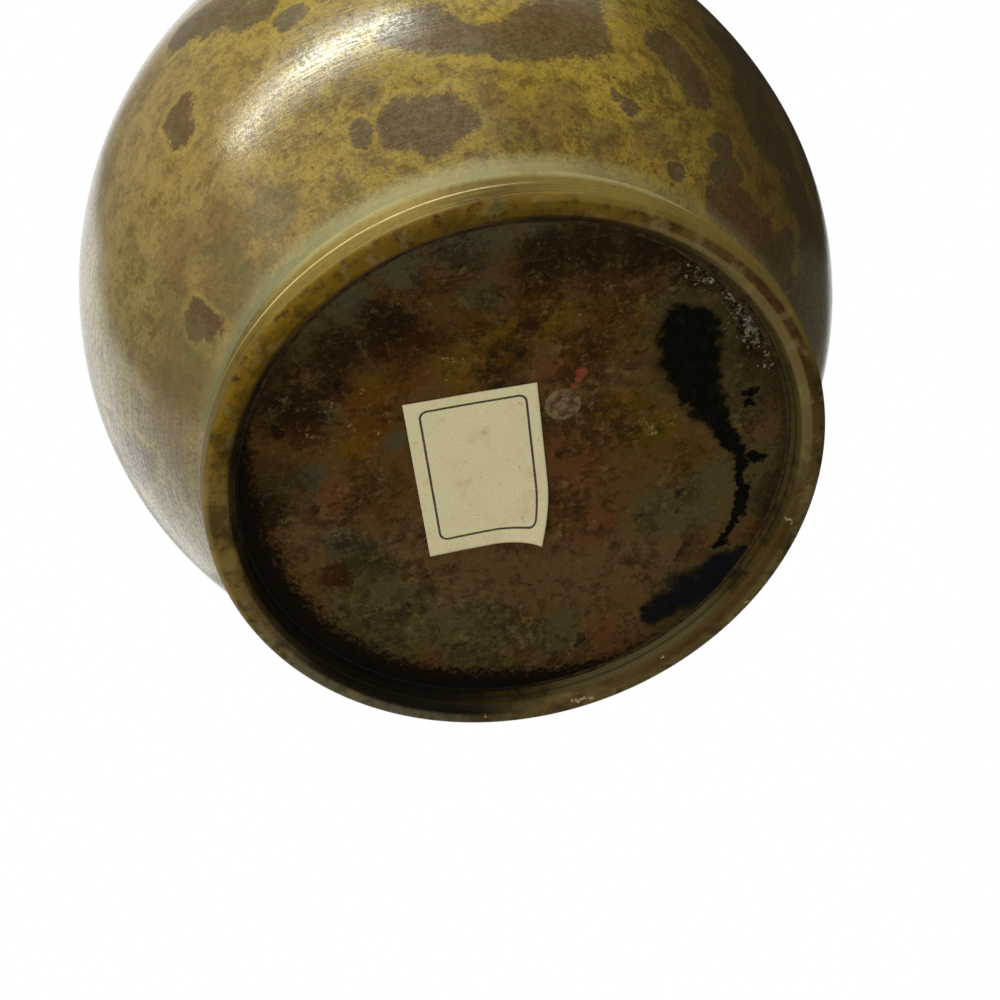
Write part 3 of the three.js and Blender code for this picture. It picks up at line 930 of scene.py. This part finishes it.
# The stains, each a colour, its share, and its spots as (x, y, radius).
PLATE_WASHES = (
    (PURPLE_BROWN, 0.75, (
        (-10, 18, 8), (2, 21, 7), (34, 8, 4), (-17, 17, 6), (-29, -3, 5), (12, 23, 6), (-18, 6, 5),
    )),
    (GREEN_GREY, 0.85, (
        (-20, -33, 4), (-24, 17, 8), (-14, 25, 7), (-26, 9, 6), (-4, 30, 5), (31, 14, 4), (4, -28, 2.6),
        (18, 17, 7), (24, 14, 4), (25, -16, 3), (33, 4, 3), (-21, -19, 2), (30, 21, 3),
    )),
    (TEAL_DARK, 0.85, (
        (6, -36, 5), (-4, -37, 4), (-12, -35, 4), (15, -35, 4), (-25, 3, 4), (-27, -10, 2.4), (-14, -12, 2),
    )),
    (RED_BROWN, 0.7, (
        (-24, -5, 3.4), (7, 0, 4.5), (6, 6, 4), (11, -12, 4), (12, 0, 3), (2, 33, 3), (6, 14, 4),
    )),
    (OCHRE, 0.85, (
        (-1, -18, 5), (4, -21, 4), (11, -20, 4), (17, -3, 2.8), (-15, -20, 3), (20, 3, 2.4),
        (-19, -14, 2.4),
    )),
    (ORANGE_BROWN, 0.85, (
        (-15, -17, 4), (26, -11, 2), (12, -24, 3), (2, -24, 2.4), (32, -4, 1.4), (-10, -20, 3),
    )),
    (DEEP_BROWN, 0.8, ((15, -14, 4), (20, -19, 4), (5, -17, 2.5), (-4, -24, 2.5), (22, -13, 2.5))),
    (OLIVE_GOLD, 0.8, ((24, -16, 3), (22.5, -11.5, 2.4), (20, -2, 3), (18, 3, 3), (22, 9, 2.6))),
    (DARK_RED, 0.85, ((-25, -19, 4), (-8, -26, 4), (-29, 7, 2.4), (9, -20, 2), (-19, -23, 3))),
    (DARK_OLIVE, 0.75, (
        (33.4, -10, 3.2), (33.6, -7, 3), (-24, 6, 4), (2, -15, 2.4), (-31, -11, 4.5), (34, 0, 4),
        (33.5, 4, 3.6), (30, 20, 3),
    )),
    # This wash lies along the edge: dark skin and painted shade from the foot.
    (PLATE_DARK, 0.9, (
        (-16, -28, 4.2), (-9, -29, 4), (14, -30, 4.6), (20, -28, 4.4), (27, -25, 4), (30, -21, 3),
        (-24, -22, 4), (-33, -8, 3), (35, -10.5, 3), (35.6, -5, 2.8), (32, -18, 3.4), (29, -24, 3),
    )),
)
PITCH_SPOTS = (
    (28.6, -11.2, 3.2), (28, -8.6, 3.9), (27.4, -5.6, 4), (26.9, -2.6, 3.3), (26.8, 0.2, 2.6),
    (27.4, 2.8, 2.4), (27.9, 5, 1.9), (28.1, 7.2, 1.7), (28.6, 9.2, 1.5), (29, 11.2, 1.4),
    (28.8, 13.2, 1.2), (31, 13.4, 1), (28.2, 14.8, 1.1), (27.6, 16.4, 0.9), (27.3, 18, 1),
    (27, 19.6, 1.1), (26.2, 21.1, 1), (25, 22.1, 0.9), (23.9, 23.2, 0.9), (22.9, 24.4, 0.9),
    (22, 25.5, 0.8), (33.6, 3.2, 1), (32.6, 5, 0.9),
)
PITCH_POOL = (
    (9.6, 33, 1.6), (12.4, 32.3, 2.6), (15.6, 31.6, 3.1), (19.2, 30.5, 2.8), (22, 29.2, 2),
    (24.2, 27.9, 1.2),
)
FLECK_PATCHES = ((-19, -17, 6), (-2, -21, 4), (20, 2, 4))
RED_MARK = ((13, -10.4, 0.8), (12.2, -9.6, 0.5), (11.2, -8.9, 0.4))


def on_plate(spots):
    return [((x, y, RECESS), spot_radius) for x, y, spot_radius in spots]


plate_skin, shader, where = new_metal("plate_skin")
bent, fray = wandered(where, 0.006, 0.0045)
run_place, _ = wandered(where, 0.002, 0.004)
fine, coarse, clumps, drift = place_group(mottle_group, Vector=where, Scale=820, Density=-0.01)
crust = patchy(where, 640, 6, 0.75, 0.52, 0.68)
washes = [
    (ramp(weighted(fray, 1.8, reach_of(bent, on_plate(spots))), 1.4, 0.55), wash, share)
    for wash, share, spots in PLATE_WASHES
]

# Cream flecks lie thickest in three patches round the label.
fleck_patch = ramp(reach_of(bent, on_plate(FLECK_PATCHES)), 1.3, 0.5, 0, 0.06)
flecks = maths("ADD", noise(where, 620, 6, 0.75), fleck_patch)

# Painted shade: the plate darkens towards its edge, where the foot shades it, but beside the window the
# shaded band lies further in.
from_window = parts_of(bent)["Y"]
off_window = ramp(from_window, -0.034, -0.028)
edge_shade = times(ramp(length(bent), 0.03, 0.038), off_window)

# Fine scratches cross the plate two ways.
scratches = []
for turn_by, stretch in ((0.5, 70), (-0.25, 55)):
    turned_by = {"Vector": where, "Angle": turn_by}
    turned_way = put("VectorRotate", turned_by, rotation_type="Z_AXIS").outputs[0]
    drawn = vectors("MULTIPLY", turned_way, (stretch, 1900, 0))
    scratches.append((patchy(drawn, 1, 2, 0.5, 0.66, 0.73), PLATE_LIGHT, 0.22))

# Painted shade darkens the corner all round; soot and painted shade lie in a broad crescent on the lower
# left.
ragged = weighted(fray, 0.008, length(sideways(where)))
corner = times(ramp(ragged, (pocket - 2.4) * MM, (pocket - 0.4) * MM), off_window)
crescent = weighted(ramp(towards(outward_of(where), CRESCENT_SIDE), 0.15, 0.85), 0.0048, ragged)
crescent = ramp(crescent, (pocket - 0.2) * MM, (pocket + 2.4) * MM)

# The pitch: one long run and one pool with a grey green halo, both glossy and nearly black.
run = weighted(fray, 0.4, reach_of(run_place, on_plate(PITCH_SPOTS)))
pool = weighted(fray, 0.6, reach_of(run_place, on_plate(PITCH_POOL)))
pitch_reach = maths("MINIMUM", run, pool)
pitch = maths("MAXIMUM", ramp(run, 1.25, 0.85), ramp(pool, 1.4, 0.65))
pitch_tone = over(ramp(pool, 1.6, 1), PITCH, PITCH_BLUE)
pitch_tone = over(crust, pitch_tone, DARK_OLIVE, 0.3)
red_mark = weighted(fray, 1.6, reach_of(where, on_plate(RED_MARK)))

tone = layered(
    PLATE_BROWN,
    (drift, PURPLE_BROWN, 0.5),
    *washes,
    (coarse, PLATE_DARK, 0.46),
    (fine, PLATE_DARK, 0.48),
    (patchy(where, 900, 4, 0.7, 0.55, 0.65), PLATE_LIGHT, 0.25),
    (times(crust, clumps), PLATE_LIGHT, 0.65),
    (patchy(where, 310, 3, 0.5, 0.66, 0.71), PITCH, 0.6),
    (ramp(flecks, 0.65, 0.74), CREAM, 0.35),
    # Painted shade towards the edge, and a band of painted shade beside the window.
    (edge_shade, PLATE_DARK, 0.3),
    (band(from_window, -0.0315, -0.024, 0.005), PLATE_DARK, 0.2),
    *scratches,
    # Painted shade in the corner, and soot with painted shade in the crescent.
    (corner, PLATE_DARK, 0.6),
    (crescent, SOOT_AND_SHADE, 0.95),
    (band(pitch_reach, 1.2, 1.6, 0.35), GREEN_GREY, 0.35),
    (ramp(pitch_reach, 1.45, 1), DARK_OLIVE, 0.7),
    (pitch, pitch_tone, 0.96),
    (ramp(red_mark, 1.3, 0.7), MARK_RED, 0.85),
)
lumps = weighted(noise(where, 420, 6, 0.7), 0.9, coarse)
fill(shader, {
    "Base Color": tone,
    "Normal": bumped(weighted(pitch, 0.5, lumps), 0.5, 0.00016),
    "Roughness": ramp(maths("SUBTRACT", drift, pitch), -1, 1, 0.3, 0.6),
    "Specular IOR Level": 0.02,
})
plate.data.materials.append(plate_skin)
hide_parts("base_plate")
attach(plate, "root")


# Solder. A bead of soft solder runs round the corner between the plate and the wall of the foot,
# dark with age and uneven. More metal of the same kind, brazed, lies under the globe's collar.
BEAD_SECTION = 10
BEAD_STEPS = 480
BEAD_SIZE = 0.3
BEAD_LUMP = 0.42
BEAD_LUMP_SPREAD = 0.22
BEAD_IN = 0.12
BEAD_DOWN = 0.02
BEAD_FLAT = 0.7
BEAD_SHADE_SIDE = 2.75
SLAG_MIDDLE = radians(-14)
random.seed(11)


def bead_size(angle):
    """The radius of the bead's section at an angle round the foot, thicker where the slag lies."""
    ripple = mathutils.noise.noise((cos(angle) * 9, sin(angle) * 9, 1.4))
    off_slag = (angle - SLAG_MIDDLE + pi) % (2 * pi) - pi
    lump = BEAD_LUMP * exp(-((off_slag / BEAD_LUMP_SPREAD) ** 2))
    return BEAD_SIZE * (1 + 0.35 * ripple) + lump * (0.6 + 0.8 * abs(ripple))


bead_vertices, bead_faces = [], []
for a in round_steps(BEAD_STEPS):
    size = bead_size(a)
    for b in round_steps(BEAD_SECTION):
        radius = pocket - BEAD_IN + size * cos(b)
        height = RECESS - BEAD_DOWN + BEAD_FLAT * size * sin(b)
        bead_vertices.append((radius * cos(a), radius * sin(a), height))
for i in range(BEAD_STEPS):
    j = (i + 1) % BEAD_STEPS
    for k in range(BEAD_SECTION):
        n = (k + 1) % BEAD_SECTION
        near, far = i * BEAD_SECTION, j * BEAD_SECTION
        bead_faces.append((near + k, far + k, far + n, near + n))
bead = new_piece("plate_solder_bead_run", bead_vertices, bead_faces, corner=80)


def crusty_metal(name, dark, light, metallic, rough, soot_and_shade=0):
    """A lumpy metal skin between two colours, with a share of soot and painted shade on the side of the
    crescent.
    """
    made, shader, where = new_metal(name)
    tone = over(patchy(where, 800, 6, 0.7, 0.4, 0.62), dark, light)
    soot_and_shade_side = ramp(towards(outward_of(where), BEAD_SHADE_SIDE), 0.3, 0.75)
    fill(shader, {
        "Base Color": over(soot_and_shade_side, tone, SOOT_AND_SHADE, soot_and_shade),
        "Normal": bumped(noise(where, 1500, 5, 0.7), 0.7, 0.0002),
        "Roughness": patchy(where, 300, 3, 0.5, 0.3, 0.7, rough, rough + 0.2),
        "Metallic": metallic,
        "Specular IOR Level": 0.1,
    })
    return made


# The bead takes soot and painted shade on the side of the crescent.
solder = crusty_metal("old_solder", rgb(38, 27, 12), rgb(64, 48, 23), 0, 0.6, soot_and_shade=0.95)
bead.data.materials.append(solder)
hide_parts("plate_solder_bead")
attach(bead, "root")

# The section of the braze, each point as (out from the collar, down from its top).
BRAZE_SECTION = ((-0.25, 2.3), (0.9, 2.55), (0.5, 3.2), (-0.25, 3.7))
braze_profile = [(COLLAR + outward, root_height - down) for outward, down in BRAZE_SECTION]
braze = turned("neck_braze_bead_run", braze_profile, steps=96)
braze.data.materials.append(solder)
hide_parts("neck_braze_bead")
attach(braze, "root")


# Slag. Crumbs of spilt solder and slag, some still bright, stick to the plate along one side:
# a thick cluster by the solder bead, and a thin trail that leads from it along the edge.
# Each cluster as (azimuth, spread in degrees, distance from the axis, spread of that, crumbs).
SLAG_CLUSTERS = (
    (-12.5, 2.6, 36.9, 0.75, 420), (-18.5, 2.2, 37.4, 0.4, 90),
    (-27.5, 2.6, 36.9, 0.6, 90), (-2.5, 3, 36.6, 0.7, 40),
)
CRUMB_LEAST = 0.06
CRUMB_RANGE = 0.3
CRUMB_SUNK = 0.03
CRUMB_SIDES = 6
CRUMB_LEVELS = ((0.3, 1), (-0.2, 1.05), (-0.5, 0.5))
crumb_vertices, crumb_faces = [], []
for middle, spread, distance, depth, crumbs in SLAG_CLUSTERS:
    for _ in range(crumbs):
        a = random.gauss(radians(middle), radians(spread))
        reach = min(pocket - 0.2, random.gauss(distance, depth))
        size = CRUMB_LEAST + CRUMB_RANGE * random.random() ** 3
        x, y = reach * cos(a), reach * sin(a)
        first = len(crumb_vertices)
        turn_by = random.uniform(0, pi)
        for level_share, spread_share in CRUMB_LEVELS:
            for step in round_steps(CRUMB_SIDES):
                b = turn_by + step
                r = size * spread_share * random.uniform(0.35, 1.5)
                z = RECESS - CRUMB_SUNK + size * level_share * random.uniform(0.3, 1.3)
                crumb_vertices.append((x + r * cos(b), y + r * sin(b), z))
        for low in (first, first + CRUMB_SIDES):
            high = low + CRUMB_SIDES
            for k in range(CRUMB_SIDES):
                n = (k + 1) % CRUMB_SIDES
                crumb_faces.append((low + k, low + n, high + n, high + k))
        crumb_faces.append(tuple(first + k for k in reversed(range(CRUMB_SIDES))))
        crumb_faces.append(tuple(high + k for k in range(CRUMB_SIDES)))
slag = new_piece("slag_crumbs", crumb_vertices, crumb_faces, corner=25)
slag.data.materials.append(crusty_metal("bright_slag", rgb(22, 17, 9), rgb(132, 121, 94), 0.5, 0.32))
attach(slag, "root")


# Core plug. A round bronze plug fills the core hole of the plate. It is filed nearly flush below,
# and shows as a pale, dull disc beside the label.
PLUG_RADIUS = 2.5
AXIS_SHARE = 0.0004
# The crown of its face, each point as (share of the radius, height that it stands proud).
PLUG_CROWN = ((AXIS_SHARE, 0.16), (0.5, 0.15), (0.85, 0.12), (1, 0.02))
plug_low, plug_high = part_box("core_plug")
plug_middle = (plug_low + plug_high) / 2
plug_face = [(PLUG_RADIUS * share, RECESS - proud) for share, proud in PLUG_CROWN]
plug_profile = plug_face + [(PLUG_RADIUS, RECESS + PLATE), (PLUG_RADIUS * AXIS_SHARE, RECESS + PLATE)]
plug = turned("core_plug_filed", plug_profile, steps=64, centre=(plug_middle.x / MM, plug_middle.y / MM))
plug_metal = crusty_metal("plug_metal", rgb(76, 60, 34), rgb(118, 102, 68), 0.15, 0.5)
plug.data.materials.append(plug_metal)
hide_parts("core_plug")
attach(plug, "root")


# Label. A small sheet of cream paper, cut a little askew and glued to the plate. One corner has
# come away and curls. It carries only a thin printed border with round corners.
LABEL_CORNERS = ((-10.96, -16.29), (6.87, -11.71), (-15.79, 8.82), (1.12, 12.65))
LABEL_WIDE = 18.4
LABEL_LONG = 25.3
LABEL_THICK = 0.16
BORDER_LEFT = 2
BORDER_RIGHT = 1.7
BORDER_NEAR = 1.6
BORDER_FAR = 2.4
BORDER_CORNER = 1.1
BORDER_LINE = 0.34
CURL_RISE = 1.85
CURL_PULL = 2.1
CURL_REACH = 9
CURL_SIDE = 0.15
GLUE = 0.05
LABEL_COLUMNS, LABEL_ROWS = 60, 80


def label_point(x, y):
    """A point of the paper, given in its own millimetres from the corner nearest the window."""
    u, v = x / LABEL_WIDE, y / LABEL_LONG
    weights = ((1 - u) * (1 - v), u * (1 - v), (1 - u) * v, u * v)
    place_x, place_y = (sum(w * c[k] for w, c in zip(weights, LABEL_CORNERS)) for k in (0, 1))
    near = max(0, 1 - hypot(LABEL_WIDE - x, LABEL_LONG - y) / CURL_REACH)
    waves = 0.03 * (1 + sin(x * 0.5 + y * 0.33)) + 0.02 * (1 + sin(y * 0.9 - x * 0.2))
    lift = CURL_RISE * near**1.6 + waves
    return place_x - CURL_PULL * near**2, place_y + CURL_SIDE * CURL_PULL * near**2, RECESS - GLUE - lift


label_vertices, label_faces, label_uv = [], [], []
for side in (0, 1):
    for j in range(LABEL_ROWS + 1):
        for i in range(LABEL_COLUMNS + 1):
            x, y = i / LABEL_COLUMNS * LABEL_WIDE, j / LABEL_ROWS * LABEL_LONG
            place_x, place_y, z = label_point(x, y)
            label_vertices.append((place_x * MM, place_y * MM, (z - side * LABEL_THICK) * MM))
            label_uv.append((x, y))
# The count of vertices in a row of a layer, and in a layer.
row = LABEL_COLUMNS + 1
layer = row * (LABEL_ROWS + 1)
for j in range(LABEL_ROWS):
    for i in range(LABEL_COLUMNS):
        k = j * row + i
        top = (k, k + 1, k + row + 1, k + row)
        label_faces += [top, tuple(layer + v for v in reversed(top))]
for i in range(LABEL_COLUMNS):
    end = LABEL_ROWS * row + i
    label_faces.append((i, layer + i, layer + i + 1, i + 1))
    label_faces.append((end, end + 1, layer + end + 1, layer + end))
for j in range(LABEL_ROWS):
    left, right = j * row, j * row + LABEL_COLUMNS
    label_faces.append((left, left + row, layer + left + row, layer + left))
    label_faces.append((right, layer + right, layer + right + row, right + row))
label = from_points("paper_label_glued", label_vertices, label_faces)
label_map = label.data.uv_layers.new(name="paper_mm")
for loop in label.data.loops:
    label_map.data[loop.index].uv = label_uv[loop.vertex_index]
for face in label.data.polygons:
    face.use_smooth = True

PAPER_LIGHT = rgb(221, 210, 165)
PAPER_DULL = rgb(208, 196, 149)
PAPER_AGED = rgb(176, 160, 108)
PAPER_SMUDGE = rgb(148, 132, 90)
PAPER_INK = rgb(40, 33, 22)
paper, shader = new_skin("label_paper")
paper_mm = put("UVMap", tree=paper.node_tree, uv_map="paper_mm").outputs[0]
fibres = noise(paper_mm, 3.2, 6, 0.7)
smudged = vectors("MULTIPLY", paper_mm, (1, 0.6, 1))
box_middle = ((BORDER_LEFT + LABEL_WIDE - BORDER_RIGHT) / 2, (BORDER_NEAR + LABEL_LONG - BORDER_FAR) / 2, 0)
box_half = (
    LABEL_WIDE - box_middle[0] - BORDER_RIGHT - BORDER_CORNER,
    LABEL_LONG - box_middle[1] - BORDER_FAR - BORDER_CORNER,
    0,
)
from_middle = vectors("ABSOLUTE", vectors("SUBTRACT", paper_mm, box_middle))
outside = vectors("MAXIMUM", vectors("SUBTRACT", from_middle, box_half), (0, 0, 0))
to_line = maths("SUBTRACT", length(outside), BORDER_CORNER)
waver = weighted(noise(paper_mm, 1.6, 4, 0.6), 0.08, -0.04)
off_line = maths("ABSOLUTE", maths("ADD", waver, to_line))
ink = ramp(off_line, BORDER_LINE * 0.62, BORDER_LINE * 0.38)
ink = times(ink, patchy(paper_mm, 5, 3, 0.6, 0.3, 0.45, 0.6, 0.95))
tone = layered(
    PAPER_LIGHT,
    (ramp(fibres, 0.35, 0.65), PAPER_DULL),
    (patchy(paper_mm, 0.22, 5, 0.6, 0.5, 0.72), PAPER_AGED, 0.4),
    (patchy(smudged, 0.8, 4, 0.6, 0.64, 0.74), PAPER_SMUDGE, 0.5),
    (ink, PAPER_INK),
)
fill(shader, {
    "Base Color": tone,
    "Normal": bumped(fibres, 0.25, 0.0001),
    "Roughness": ramp(fibres, 0.3, 0.7, 0.6, 0.8),
    "Specular IOR Level": 0.2,
})
label.data.materials.append(paper)
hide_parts("paper_label")
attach(label, "root")
